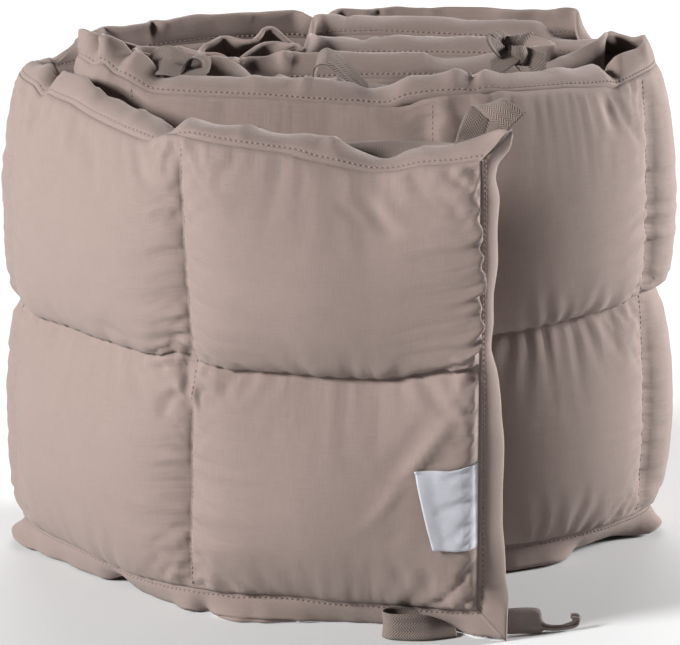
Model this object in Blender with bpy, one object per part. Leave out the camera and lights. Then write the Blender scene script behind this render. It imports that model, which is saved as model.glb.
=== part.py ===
"""Quilted crib bumper, rolled up and standing on its long edge.

A filled cotton pad, sewn in two rows of squares, is wound clockwise (seen from above) into a
flat oval roll. Its outer end stands off in front as a loose flap. A flat binding runs round all
four edges, and tapes are sewn in at the corners and along the top edge.

Units are metres and +Z is up. Sizes in the tables are millimetres, as their comments say.
The route is drawn with X to the right and Y away from the flap, and the whole part is then
moved so that the middle of its footprint is the origin.
"""
import math

import bpy
import numpy as np
from mathutils import Vector

MM = 0.001

# driving sizes of the pad
HEIGHT = 0.300
BINDING_WIDTH = 0.017
BINDING_THICKNESS = 0.003
PIECE_GAP = 0.0003
SQUARE_ROWS = 2
SQUARE_COLUMNS = 14
SEAM_THICKNESS = 0.003

# how the squares swell between their seams
SWELL_POWER = 0.62
SAG_PER_SWELL = 0.32
COLUMN_STEPS = 11
ROW_STEPS = 5

# tapes and label
TAPE_WIDTH = 0.015
TAPE_THICKNESS = 0.0012
TAPE_STEPS_PER_SPAN = 3
LABEL_WIDTH = 0.034
LABEL_HEIGHT = 0.046
LABEL_THICKNESS = 0.0012
LABEL_LIFT = 0.0011
LABEL_FOOT = 0.055

# middle of the footprint, in the coordinates of the route
FOOTPRINT_MIDDLE = (0.002, 0.149)

# The middle of the pad, seen from above, in millimetres. A row for each bend:
# x and y; the swell of a square's outer and inner face; how far the top binding leans outwards
# (degrees); how far the top edge drops below the full height; how far the crease between the
# two rows of squares lies above the middle.
ROUTE_COLUMNS = ("place", "x", "y", "outer", "inner", "lean", "drop", "crease")
ROUTE = (
    ("outer end", 94, 0, 17, 14, 0, 4, 10),
    ("flap, right", 60, 12, 17, 14, -40, 9, 7),
    ("flap, middle", 22, 23, 17, 14, -30, 14, 3),
    ("flap, left", -26, 31, 17, 14, -20, 6, 0),
    ("flap, first seam", -88, 50, 17, 14, 8, 3, 0),
    ("left front", -148, 110, 17, 12, -12, 2, 0),
    ("left", -188, 172, 17, 11, 15, 0, 0),
    ("left back", -158, 214, 16, 10, -15, 1, 0),
    ("back, left", -90, 259, 15, 10, 10, 0, 0),
    ("back, middle", 10, 287, 15, 10, -12, 2, 0),
    ("back, right", 116, 277, 15, 10, 14, 0, 0),
    ("right back", 166, 242, 15, 10, -10, 1, 0),
    ("right", 190, 194, 17, 10, 20, 0, 0),
    ("right front", 148, 148, 17, 11, -8, 2, 0),
    ("second turn, front right", 92, 117, 17, 11, 8, 0, 0),
    ("second turn, front", 22, 112, 15, 10, -10, 5, 0),
    ("second turn, front left", -100, 122, 12, 10, 12, 2, 0),
    ("second turn, left", -150, 163, 11, 9, 15, 0, 0),
    ("second turn, back left", -108, 206, 11, 9, -10, 2, 0),
    ("second turn, back", 0, 247, 11, 9, 12, 1, 0),
    ("second turn, back right", 108, 243, 11, 9, -12, 1, 0),
    ("second turn, right", 154, 204, 11, 9, 10, 0, 0),
    ("third turn, front right", 112, 167, 11, 9, -15, 2, 0),
    ("third turn, front", 10, 152, 11, 9, 12, 3, 0),
    ("third turn, front left", -70, 156, 11, 9, -12, 2, 0),
    ("third turn, left", -115, 178, 10, 8, 15, 2, 0),
    ("third turn, back left", -65, 201, 10, 8, -15, 3, 0),
    ("third turn, back", 20, 213, 10, 8, 12, 2, 0),
    ("third turn, right", 102, 207, 9, 7, -10, 2, 0),
    ("core, bend", 122, 192, 8, 5, 0, 3, 0),
    ("core, right", 60, 184, 9, 8, 10, 3, 0),
    ("core, left", -15, 182, 9, 8, -10, 3, 0),
    ("inner end", -83, 180, 9, 8, 0, 3, 0),
)

# Tapes, in millimetres, a row for each bend: x, y and z of the tape's middle line, then the way
# its width runs: compass turn in plan and tilt up from the ground (degrees).
TAPE_COLUMNS = ("x", "y", "z", "turn", "tilt")
TAPES = {
    "tie_top_outer_up": (
        (70, 16.6, 280.2, 90, 55),
        (78, 17.4, 290, 90, 60),
        (91, 11, 302, 90, 60),
        (106, 3, 309, 90, 60),
    ),
    "tie_top_outer_back": (
        (66, 18.2, 280.6, 90, 57),
        (46, 36, 283, 90, 50),
        (26, 42, 281, 90, 45),
        (8, 44, 274, 90, 70),
    ),
    "tie_bottom_outer_loop": (
        (76, 3.9, 7.8, 0, 90),
        (60, 1, 7.8, 0, 90),
        (40, -3, 7.8, 0, 90),
        (28, -3, 7.8, 0, 90),
        (24, 4, 7.8, 0, 90),
        (34, 9, 7.8, 0, 90),
        (52, 9, 7.8, 0, 90),
    ),
    "tie_bottom_outer_tail": (
        (88, 4.6, 7.8, 0, 90),
        (102, 9, 7.8, 0, 90),
        (115, 12, 7.8, 90, 85),
        (127, 17, 6.5, 90, 45),
        (137, 20, 6, 90, 30),
    ),
    "tie_left": (
        (-104, 125.6, 291, 90, 90),
        (-98, 139, 297, 90, 70),
        (-88, 145, 300, 80, 45),
        (-78, 144, 292, 60, 70),
    ),
    "tie_middle": (
        (-22, 147.3, 291, 90, 102),
        (-8, 140, 297, 90, 60),
        (10, 133, 293, 90, 40),
        (26, 126, 286, 90, 60),
    ),
    "tie_right_loop": (
        (112.4, 165.0, 290, 90, 90),
        (100, 156, 302, 90, 80),
        (89, 150, 309, 60, 50),
        (96, 144, 311, 20, 30),
        (108, 147, 303, 20, 50),
    ),
    "tie_right_tail": (
        (131.0, 173.3, 290, 45, 90),
        (127, 165, 298, 45, 75),
        (121, 157, 300, 45, 60),
    ),
}

# colours, roughness
TAUPE = (0.36, 0.29, 0.25, 1.0)
TAUPE_BINDING = (0.34, 0.27, 0.235, 1.0)
TAUPE_TAPE = (0.30, 0.245, 0.215, 1.0)
WHITE = (0.82, 0.82, 0.83, 1.0)
CLOTH_ROUGHNESS = 0.9


def clear_scene():
    for old in list(bpy.data.objects):
        bpy.data.objects.remove(old, do_unlink=True)


def fabric(name, colour):
    material = bpy.data.materials.new(name)
    material.use_nodes = True
    shader = material.node_tree.nodes["Principled BSDF"]
    shader.inputs["Base Color"].default_value = colour
    shader.inputs["Roughness"].default_value = CLOTH_ROUGHNESS
    shader.inputs["Metallic"].default_value = 0.0
    return material


def add_piece(name, vertices, faces, colour, parent):
    """One closed solid as one object, shaded smooth."""
    mesh = bpy.data.meshes.new(name)
    mesh.from_pydata([tuple(v) for v in vertices], [], faces)
    mesh.update()
    mesh.shade_smooth()
    mesh.set_sharp_from_angle(angle=math.radians(50))
    mesh.materials.append(fabric(name + "_cloth", colour))
    piece = bpy.data.objects.new(name, mesh)
    bpy.context.scene.collection.objects.link(piece)
    piece.parent = parent
    return piece


def smooth_line(points, steps):
    """A Catmull-Rom curve through the points, with the given steps for each span."""
    points = np.asarray(points, float)
    before = 2 * points[0] - points[1]
    after = 2 * points[-1] - points[-2]
    padded = np.vstack([before, points, after])
    line = []
    for i in range(1, len(padded) - 2):
        a, b, c, d = padded[i - 1:i + 3]
        for t in np.arange(steps) / steps:
            line.append(
                0.5 * (2 * b + (c - a) * t + (2 * a - 5 * b + 4 * c - d) * t**2
                       + (3 * b - a - 3 * c + d) * t**3)
            )
    line.append(points[-1])
    return np.array(line)


class Route:
    """The pad's middle line in plan, by the length along it from the very end of the flap."""

    SPAN_STEPS = 40

    def __init__(self, rows):
        numbers = np.array([row[1:] for row in rows], float)
        plan = smooth_line(numbers[:, :2] * MM, self.SPAN_STEPS)
        pieces = np.linalg.norm(np.diff(plan, axis=0), axis=1)
        self.along = np.concatenate([[0], np.cumsum(pieces)])
        self.plan = plan
        slope = np.gradient(plan, self.along, axis=0)
        self.slope = slope / np.linalg.norm(slope, axis=1)[:, None]
        self.stations = self.along[::self.SPAN_STEPS]
        self.values = {
            column: numbers[:, i] for i, column in enumerate(ROUTE_COLUMNS[1:])
        }
        self.length = self.along[-1]

    def at(self, s):
        """Place and outward direction at length s."""
        place = [np.interp(s, self.along, self.plan[:, i]) for i in (0, 1)]
        slope = [np.interp(s, self.along, self.slope[:, i]) for i in (0, 1)]
        outward = np.array([-slope[1], slope[0]])
        return np.array(place), outward / np.linalg.norm(outward)

    def value(self, column, s):
        """A column of the table, eased between its rows."""
        i = int(np.clip(np.searchsorted(self.stations, s) - 1, 0, len(self.stations) - 2))
        t = np.clip((s - self.stations[i]) / (self.stations[i + 1] - self.stations[i]), 0, 1)
        ease = t * t * (3 - 2 * t)
        low, high = self.values[column][i:i + 2]
        return float(low + (high - low) * ease)


def swell(t):
    """How full a square is at t, from one seam (0) to the next (1)."""
    return max(0.0, math.sin(math.pi * t)) ** SWELL_POWER


def seam_spacing(steps):
    """Fractions of a square's side, closer together at its seams."""
    return [(1 - math.cos(math.pi * i / steps)) / 2 for i in range(steps + 1)]


def square_stops(squares, steps):
    """Stops along a row of squares: (which square, fraction of it), seams counted once."""
    stops = [(0, 0.0)]
    for square in range(squares):
        stops += [(square, t) for t in seam_spacing(steps)[1:]]
    return stops


class Pad:
    """The filled pad's two faces, by length s along the route and fraction v of its height."""

    def __init__(self, route):
        self.route = route
        self.start = BINDING_WIDTH + PIECE_GAP
        self.end = route.length - BINDING_WIDTH - PIECE_GAP
        self.column_width = (self.end - self.start) / SQUARE_COLUMNS

    def bottom(self):
        return BINDING_WIDTH + PIECE_GAP

    def top(self, s):
        return HEIGHT - BINDING_WIDTH - PIECE_GAP - self.route.value("drop", s) * MM

    def fullness(self, s, v):
        column = (s - self.start) / self.column_width
        row = v * SQUARE_ROWS
        across = swell(column - min(math.floor(column), SQUARE_COLUMNS - 1))
        upwards = swell(row - min(math.floor(row), SQUARE_ROWS - 1))
        return across * upwards

    def point(self, s, v, side):
        """A point of the outer (side 1) or inner (side -1) face."""
        place, outward = self.route.at(s)
        column = "outer" if side > 0 else "inner"
        puff = self.route.value(column, s) * MM * self.fullness(s, v)
        reach = SEAM_THICKNESS / 2 + puff
        flat = place + outward * side * reach
        crease = self.route.value("crease", s) * MM * 4 * v * (1 - v)
        z = self.bottom() + (self.top(s) - self.bottom()) * v + crease - SAG_PER_SWELL * puff
        return Vector((flat[0], flat[1], z))


def sheet_solid(rows, columns, outer_point, inner_point):
    """A closed body between two faces that are each a grid of rows by columns of points."""
    vertices = []
    for face_point in (outer_point, inner_point):
        for i in range(rows):
            for j in range(columns):
                vertices.append(face_point(i, j))
    half = rows * columns

    def index(i, j, face):
        return face * half + i * columns + j

    faces = []
    for i in range(rows - 1):
        for j in range(columns - 1):
            corners = ((i, j), (i + 1, j), (i + 1, j + 1), (i, j + 1))
            faces.append([index(a, b, 0) for a, b in reversed(corners)])
            faces.append([index(a, b, 1) for a, b in corners])
    rim = [(i, 0) for i in range(rows)]
    rim += [(rows - 1, j) for j in range(1, columns)]
    rim += [(i, columns - 1) for i in range(rows - 2, -1, -1)]
    rim += [(0, j) for j in range(columns - 2, 0, -1)]
    for k, (i, j) in enumerate(rim):
        m, n = rim[(k + 1) % len(rim)]
        faces.append([index(i, j, 0), index(m, n, 0), index(m, n, 1), index(i, j, 1)])
    return vertices, faces


def quilted_pad(pad, parent):
    along = [
        pad.start + (square + t) * pad.column_width
        for square, t in square_stops(SQUARE_COLUMNS, COLUMN_STEPS)
    ]
    up = [(square + t) / SQUARE_ROWS for square, t in square_stops(SQUARE_ROWS, ROW_STEPS)]
    vertices, faces = sheet_solid(
        len(along), len(up),
        lambda i, j: pad.point(along[i], up[j], 1),
        lambda i, j: pad.point(along[i], up[j], -1),
    )
    return add_piece("quilted_pad", vertices, faces, TAUPE, parent)


def binding_along(name, pad, parent, top):
    """The binding of the top or bottom edge, mitred at both ends."""
    route = pad.route
    stops = [
        (square + t) / SQUARE_COLUMNS for square, t in square_stops(SQUARE_COLUMNS, COLUMN_STEPS)
    ]
    widths = (0.0, 0.5, 1.0)

    def point(i, j, side):
        out = widths[j]
        mitre = BINDING_WIDTH * (1 - out) + PIECE_GAP
        s = mitre + (route.length - 2 * mitre) * stops[i]
        place, outward = route.at(s)
        lean = math.radians(route.value("lean", s)) * out
        flat = place + outward * (side * BINDING_THICKNESS / 2)
        if top:
            flat = flat + outward * BINDING_WIDTH * out * math.sin(lean)
            z = HEIGHT - BINDING_WIDTH - route.value("drop", s) * MM
            z += BINDING_WIDTH * out * math.cos(lean)
        else:
            z = BINDING_WIDTH * (1 - out)
        return Vector((flat[0], flat[1], z))

    vertices, faces = sheet_solid(
        len(stops), len(widths), lambda i, j: point(i, j, 1), lambda i, j: point(i, j, -1)
    )
    if not top:
        faces = [face[::-1] for face in faces]
    return add_piece(name, vertices, faces, TAUPE_BINDING, parent)


def binding_end(name, pad, parent, outer_end):
    """The binding of a short end, from corner to corner."""
    route = pad.route
    widths = (0.0, 0.5, 1.0)
    levels = 9

    def point(i, j, side):
        out = widths[i]
        s = BINDING_WIDTH * (1 - out)
        if not outer_end:
            s = route.length - s
        place, outward = route.at(s)
        flat = place + outward * (side * BINDING_THICKNESS / 2)
        mitre = BINDING_WIDTH * (1 - out) + PIECE_GAP
        drop = route.value("drop", s) * MM
        low = mitre
        high = HEIGHT - mitre - drop
        z = low + (high - low) * j / (levels - 1)
        return Vector((flat[0], flat[1], z))

    vertices, faces = sheet_solid(
        len(widths), levels, lambda i, j: point(i, j, 1), lambda i, j: point(i, j, -1)
    )
    if outer_end:
        faces = [face[::-1] for face in faces]
    return add_piece(name, vertices, faces, TAUPE_BINDING, parent)


def tape(name, rows, parent):
    """A tape that follows its rows, with its width turned as they say."""
    line = smooth_line(rows, TAPE_STEPS_PER_SPAN)
    columns = dict(zip(TAPE_COLUMNS, line.T))
    middle = np.stack([columns[axis] for axis in "xyz"], axis=1) * MM
    run = np.gradient(middle, axis=0)

    def point(i, j, side):
        turn = math.radians(columns["turn"][i])
        tilt = math.radians(columns["tilt"][i])
        across = np.array([
            math.cos(turn) * math.cos(tilt), math.sin(turn) * math.cos(tilt), math.sin(tilt)
        ])
        ahead = run[i] / np.linalg.norm(run[i])
        normal = np.cross(ahead, across)
        normal /= np.linalg.norm(normal)
        edge = across * TAPE_WIDTH * (j - 0.5)
        return Vector(middle[i] + edge + normal * side * TAPE_THICKNESS / 2)

    vertices, faces = sheet_solid(
        len(line), 2, lambda i, j: point(i, j, -1), lambda i, j: point(i, j, 1)
    )
    return add_piece(name, vertices, faces, TAUPE_TAPE, parent)


def label(pad, parent):
    """The bare white tab, lying on the outer face of the lower square at the outer end."""
    across, up = 5, 5
    height = pad.top(pad.start) - pad.bottom()

    def point(i, j, lift):
        s = pad.start + LABEL_WIDTH * i / (across - 1)
        v = (LABEL_FOOT - pad.bottom() + LABEL_HEIGHT * j / (up - 1)) / height
        surface = pad.point(s, v, 1)
        outward = pad.route.at(s)[1]
        return surface + Vector((outward[0], outward[1], 0)) * lift

    vertices, faces = sheet_solid(
        across, up,
        lambda i, j: point(i, j, LABEL_LIFT + LABEL_THICKNESS),
        lambda i, j: point(i, j, LABEL_LIFT),
    )
    return add_piece("label", vertices, faces, WHITE, parent)


def build():
    clear_scene()
    base = bpy.data.objects.new("crib_bumper", None)
    base.location = (-FOOTPRINT_MIDDLE[0], -FOOTPRINT_MIDDLE[1], 0)
    bpy.context.scene.collection.objects.link(base)
    pad = Pad(Route(ROUTE))
    quilted_pad(pad, base)
    binding_along("binding_top", pad, base, top=True)
    binding_along("binding_bottom", pad, base, top=False)
    binding_end("binding_outer_end", pad, base, outer_end=True)
    binding_end("binding_inner_end", pad, base, outer_end=False)
    for name, rows in TAPES.items():
        tape(name, rows, base)
    label(pad, base)


build()
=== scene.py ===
"""Looks of the quilted crib bumper, rolled up and standing on its long edge.

The pad, its bindings, tapes and bare tab are built along the same route as the solids, in
metres and with +Z up. The squares of the quilt are puffed by a cloth simulation of a flat
piece of it, which is then wound along the route.
"""

import math

import bpy
import numpy as np
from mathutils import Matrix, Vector


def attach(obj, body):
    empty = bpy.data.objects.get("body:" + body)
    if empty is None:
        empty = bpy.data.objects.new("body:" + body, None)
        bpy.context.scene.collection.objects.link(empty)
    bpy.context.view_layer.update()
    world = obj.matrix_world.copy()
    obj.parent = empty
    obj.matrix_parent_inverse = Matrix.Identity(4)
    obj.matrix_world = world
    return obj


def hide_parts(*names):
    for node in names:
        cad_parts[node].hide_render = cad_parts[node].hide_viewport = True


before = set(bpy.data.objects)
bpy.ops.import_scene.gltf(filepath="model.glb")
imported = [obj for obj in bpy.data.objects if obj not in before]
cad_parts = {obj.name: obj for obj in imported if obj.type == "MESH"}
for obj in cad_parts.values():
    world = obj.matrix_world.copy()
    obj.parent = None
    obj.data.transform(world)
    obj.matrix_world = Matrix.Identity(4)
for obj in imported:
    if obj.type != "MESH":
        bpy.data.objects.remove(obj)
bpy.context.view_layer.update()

MM = 0.001

# ---------------------------------------------------------------- driving sizes of the pad
HEIGHT = 0.300
BINDING_WIDTH = 0.017
BINDING_THICKNESS = 0.003
PAD_HEIGHT = HEIGHT - 2 * BINDING_WIDTH
PIECE_GAP = 0.0003
SQUARE_ROWS = 2
SQUARE_COLUMNS = 14
SEAM_THICKNESS = 0.003
SAG_PER_SWELL = 0.32
FOOTPRINT_MIDDLE = np.array([0.002, 0.149])

# The middle of the pad seen from above, with how far the squares swell from its outer and inner
# face, how far its top drops and how far the crease between its rows is raised: in millimetres.
ROUTE_COLUMNS = ("place", "x", "y", "outer", "inner", "drop", "crease")
ROUTE = (
    ("outer end", 94, 0, 17, 14, 4, 10),
    ("flap, right", 60, 12, 17, 14, 9, 7),
    ("flap, middle", 22, 23, 17, 14, 14, 3),
    ("flap, left", -26, 31, 17, 14, 6, 0),
    ("flap, first seam", -88, 50, 17, 14, 3, 0),
    ("left front", -148, 110, 17, 12, 2, 0),
    ("left", -188, 172, 17, 11, 0, 0),
    ("left back", -158, 214, 16, 10, 1, 0),
    ("back, left", -90, 259, 15, 10, 0, 0),
    ("back, middle", 10, 287, 15, 10, 2, 0),
    ("back, right", 116, 277, 15, 10, 0, 0),
    ("right back", 166, 242, 15, 10, 1, 0),
    ("right", 190, 194, 17, 10, 0, 0),
    ("right front", 148, 148, 17, 11, 2, 0),
    ("second turn, front right", 92, 117, 17, 11, 0, 0),
    ("second turn, front", 22, 112, 15, 10, 5, 0),
    ("second turn, front left", -100, 122, 12, 10, 2, 0),
    ("second turn, left", -150, 163, 11, 9, 0, 0),
    ("second turn, back left", -108, 206, 11, 9, 2, 0),
    ("second turn, back", 0, 247, 11, 9, 1, 0),
    ("second turn, back right", 108, 243, 11, 9, 1, 0),
    ("second turn, right", 154, 204, 11, 9, 0, 0),
    ("third turn, front right", 112, 167, 11, 9, 2, 0),
    ("third turn, front", 10, 152, 11, 9, 3, 0),
    ("third turn, front left", -70, 156, 11, 9, 2, 0),
    ("third turn, left", -115, 178, 10, 8, 2, 0),
    ("third turn, back left", -65, 201, 10, 8, 3, 0),
    ("third turn, back", 20, 213, 10, 8, 2, 0),
    ("third turn, right", 102, 207, 9, 7, 2, 0),
    ("core, bend", 122, 192, 8, 5, 3, 0),
    ("core, right", 60, 184, 9, 8, 3, 0),
    ("core, left", -15, 182, 9, 8, 3, 0),
    ("inner end", -83, 180, 9, 8, 3, 0),
)

# How the top edge runs where it shows, in millimetres and degrees: the length along the route,
# how far the edge is lifted, and how far its binding leans (outwards is positive).
EDGE_COLUMNS = ("s", "lift", "lean")
TOP_LINE = (
    (0, 0, 0), (3, 0.5, -6), (10, 1.2, -30), (17, 2, -46), (25, 2, -56), (36, 0.5, -64),
    (46, 0, -70), (54, 0, -82), (65, -1.5, -75), (80, -2, -66), (100, -2, -47), (112, -3, -48),
    (124, -1, -60), (140, 0, -68), (165, 0.5, -68), (182, 1.5, -64), (192, 0, -50), (198, -3, -66),
    (204, -6, -88), (211, -6, -62), (222, -5, -55), (240, -3.5, -50), (260, -1.5, -50),
    (280, 2, -45), (300, 2, -48), (306, 3, -50), (311, -1, -92), (316, -1, -92), (321, 3, -45),
    (340, 3, -74), (362, 3, -72), (380, 0, -55), (400, 0, -30), (430, 0, 5), (470, 0, -12),
    (500, 0, 8), (552, 0, 5), (560, -1, -38), (568, -1, -30), (576, 0, 12), (640, 0, 5),
    (700, 0, -5), (716, 3, 5), (724, 3, 10), (734, 0, -50), (744, -2, -85), (752, -2, -60),
    (762, 0, -30), (795, 2, -30), (820, 3, -22), (840, 2, -28), (853, 1, -34), (858, 0, -90),
    (863, 1, -88), (867, 3, -58), (880, 4, -64), (900, 6, -66), (940, 6, -64), (952, 8, -58),
    (958, 6, -80), (964, 8, -60), (985, 9, -66), (998, 8, -62), (1006, 4, -70), (1014, 4, -72),
    (1024, 5, -52), (1046, 5.5, -50), (1077, 6.5, -60), (1107, 6, -66), (1130, 6, -72),
    (1144, 6, -84), (1150, 9, -60), (1160, 13, -50), (1166, 13, -78), (1171, 18, -10),
    (1176, 20, 30), (1181, 14, -70), (1190, 17, -30), (1205, 16, 10), (1222, 10, -30),
    (1245, 3, 10), (1262, 1, -30), (1275, 0, -80), (1284, -1, -92), (1292, 1, -60), (1320, 2, -45),
    (1336, 4, -30), (1346, 1, -70), (1353, -3, -95), (1358, -2, -60), (1363, 4, 10), (1372, 9, 62),
    (1400, 9, 64), (1440, 7, 62), (1470, 6, 60), (1488, 5, 50), (1498, 4, 40), (1506, 0, 66),
    (1530, 0, 62), (1542, 2, 30), (1553, 2, 0), (1570, 0, -40), (1612, -2, -75), (1700, -3, -80),
    (1780, 0, -60), (1795, 2, -20), (1820, 3, 30), (1847, 3, -30), (1875, 2, 20), (1904, 1, -50),
    (1930, 2, -20), (1945, 2, -70), (1955, 4, 40), (1965, 6, 62), (2060, 6, 60), (2075, 4, 30),
    (2102, 2, 0), (2125, 0, -50), (2165, 1, -56), (2215, 1, -45), (2240, 0, -20), (2308, 0, 10),
)

# The same for the bottom edge, which is tucked in or flares out.
BOTTOM_LINE = (
    (0, 0, 0), (17, -0.3, 0), (30, -1.5, -18), (44, -2.4, -28), (100, -2.4, -30), (122, -0.5, -8),
    (142, -0.8, 16), (160, -2.2, 26), (170, -1, 5), (178, -2, -34), (186, -1.5, 6),
    (200, -2.4, -22), (220, -3, -26), (236, -3, -34), (246, -2, -52), (252, -2, -52),
    (262, -1, -20), (280, 0, -14), (300, 0, -16), (320, 0, -5), (332, 0, 10), (344, 0, 38),
    (362, 0, 40), (385, 0, 10), (420, 0, -10), (500, 0, 8), (600, 0, -8), (700, 0, 8), (780, 0, 5),
    (800, 0, 28), (816, 0, 36), (830, 0, -20), (845, 0, -42), (886, 0, -44), (896, 0, -10),
    (905, 0, 4), (960, 0, 0), (1100, 0, 6), (1300, 0, -8), (1500, 0, 5),
)

# how far the crease between the rows is raised as well, in millimetres
CREASE_COLUMNS = ("s", "rise")
CREASE_LINE = (
    (0, 5.5), (165, 5.5), (200, 5), (240, 4), (300, 0), (800, 1), (845, 3), (900, -2),
    (950, -6), (1000, -6), (1100, 0), (2300, 0),
)

# Seams that don't run quite upright: how far, in millimetres, each is moved along the route at
# its foot, at the crease and at its head.
SEAM_COLUMNS = ("number", "foot", "crease", "head")
SEAM_LINES = ((1, 4, 1, 10), (5, 7, 7, 7), (6, -10, -10, -10))

# how the pad's outer end stands over its binding, by the height on the pad, in millimetres
PAD_END_COLUMNS = ("z", "overhang")
PAD_END_LINE = (
    (0, 0), (12, 0), (30, 1.5), (60, 0), (76, -0.5), (84, 1.5), (94, 3.5), (105, 3.8),
    (109, 1.5), (113, 4), (120, 4.5), (140, 7), (150, 8), (176, 9), (200, 8), (236, 8),
    (252, 5), (266, 0),
)

# how the binding of the outer end is turned back, by its height, in millimetres and degrees
END_COLUMNS = ("z", "lean")
END_LINE = (
    (0, 0), (17, 0), (32, -45), (62, -62), (102, -64), (135, -66), (152, -78), (167, -95),
    (180, -82), (234, -82), (254, -76), (266, -90), (275, -80), (283, -46), (290, -30),
    (297, -6), (300, 0),
)

# how far the roll's bends are drawn in, since the puffed squares reach past the solids there
RIGHT_PULL = 0.0088
LEFT_PULL = 0.0045
PULL_FROM = 0.140
PULL_REACH = 0.065

# how many steps a square is cut into, for the squares that face the viewer and the others
FINE_COLUMNS = (0, 1, 5)
FINE_STEPS = 56
OUTER_COLUMNS = (2, 3, 4, 6, 7)
OUTER_STEPS = 26
PLAIN_STEPS = 10
ROW_STEPS = 68
# the steps stand closer to the seams in the squares of the flap
CROWDED_COLUMNS = (0, 1)
CROWDING = 0.65

# the flat piece of quilt that is simulated, ten times as large as the real one
PANEL_SCALE = 10.0
PANEL_COLUMNS = 4
PANEL_CELLS = 40
PANEL_ROW_CELLS = 33
PANEL_START = 0.10
PANEL_ROUGHNESS = 0.004
PANEL_SEED = 7
PANEL_FRAMES = 20
# a shrink_min below 0 gives the squares spare cloth, which the pressure puffs out
CLOTH_SETTINGS = {
    "quality": 6,
    "mass": 0.3,
    "tension_stiffness": 15,
    "compression_stiffness": 10,
    "shear_stiffness": 4,
    "bending_stiffness": 0.4,
    "vertex_group_mass": "seams",
    "shrink_min": -0.07,
    "use_pressure": True,
    "uniform_pressure_force": 4.0,
}

# how the squares of the pad swell: towards the foot of each row, near the seams and at the flap
PEAK_PERCENTILE = 97
MOST_RISE = 1.1
FULLNESS = 0.70
SEAM_BRIDGE = 0.31
SLUMP = 0.78
BOTTOM_SLUMP = 0.92
FOOT_SAG = 0.2
FOOT_SAG_REACH = 0.3
FLAP_DOME = 0.006
END_FULLNESS = 0.35
END_FULLNESS_REACH = 0.2
LEAST_REACH = 0.0003

# the crease's step at the flap's first seam, in millimetres, and how far along it is felt
CREASE_STEP = 3.0
CREASE_STEP_WIDTH = 0.008
CREASE_STEP_REACH = 0.12

# Gathers: how far they run from the upright seams and the level lines, how they fade right at
# them and at the pad's ends, and how much weaker they are on the crease, above all at the flap.
SEAM_GATHERS_REACH = 0.019
LINE_GATHERS_REACH = 0.016
SEAM_FADE = 0.003
LINE_FADE = 0.004
AT_SEAM = 0.35
END_FADE = 0.03           # in squares
GATHERS_STRENGTH = 0.6
CREASE_GATHERS = 0.35
MORE_CREASE_GATHERS = 0.4
FLAP_END = 0.3
FLAP_REACH = 0.3

# The overhang of the pad's outer end and the calm cloth round the tab. Lengths are in metres, and
# OVERHANG_RISE, OVERHANG_REACH and the two LABEL_COLUMNS are counted in squares.
RUFFLED_OVERHANG = 0.005
OVERHANG_RISE = 0.03
OVERHANG_REACH = 0.22
LABEL_MARGIN = 0.008
LABEL_EASE = 0.006
LABEL_COLUMNS = 0.30
LABEL_COLUMNS_EASE = 0.06
LABEL_CALM = 0.9
CALM_ABOVE = 0.026

# Noise along a length: its size, its wavelength in metres and the seed of its random numbers.
# A lean is in degrees, and slants and strengths are shares. The other sizes are in metres.
NOISE = {
    "seam gathers": (0.0025, 0.0048, 51),
    "seam gathers, slant": (0.25, 0.05, 50),
    "seam gathers, strength": (0.4, 0.03, 52),
    "line gathers": (0.0019, 0.0062, 54),
    "line gathers, slant": (0.35, 0.06, 53),
    "line gathers, strength": (0.4, 0.04, 55),
    "end ruffle": (0.0030, 0.0062, 56),
    "top, lean": (10, 0.026, 21),
    "top, ridges": (1, 0.028, 25),
    "top, along": (0.004, 0.02, 26),
    "top, ripple": (0.0018, 0.017, 22),
    "top, small ripple": (0.0009, 0.007, 23),
    "top, sag": (0.0008, 0.012, 24),
    "bottom, lean": (6, 0.03, 36),
    "bottom, ripple": (0.0016, 0.016, 31),
    "bottom, small ripple": (0.0008, 0.007, 32),
    "bottom, lift": (0.0003, 0.02, 33),
    "end, lean": (12, 0.022, 42),
    "end, ripple": (0.0014, 0.014, 44),
    "inner end, lean": (20, 0.06, 45),
}
# how many random numbers one noise has, and the one at which a length of 0 is
WOBBLE_KNOTS = 4000
WOBBLE_START = 50.0

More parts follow.
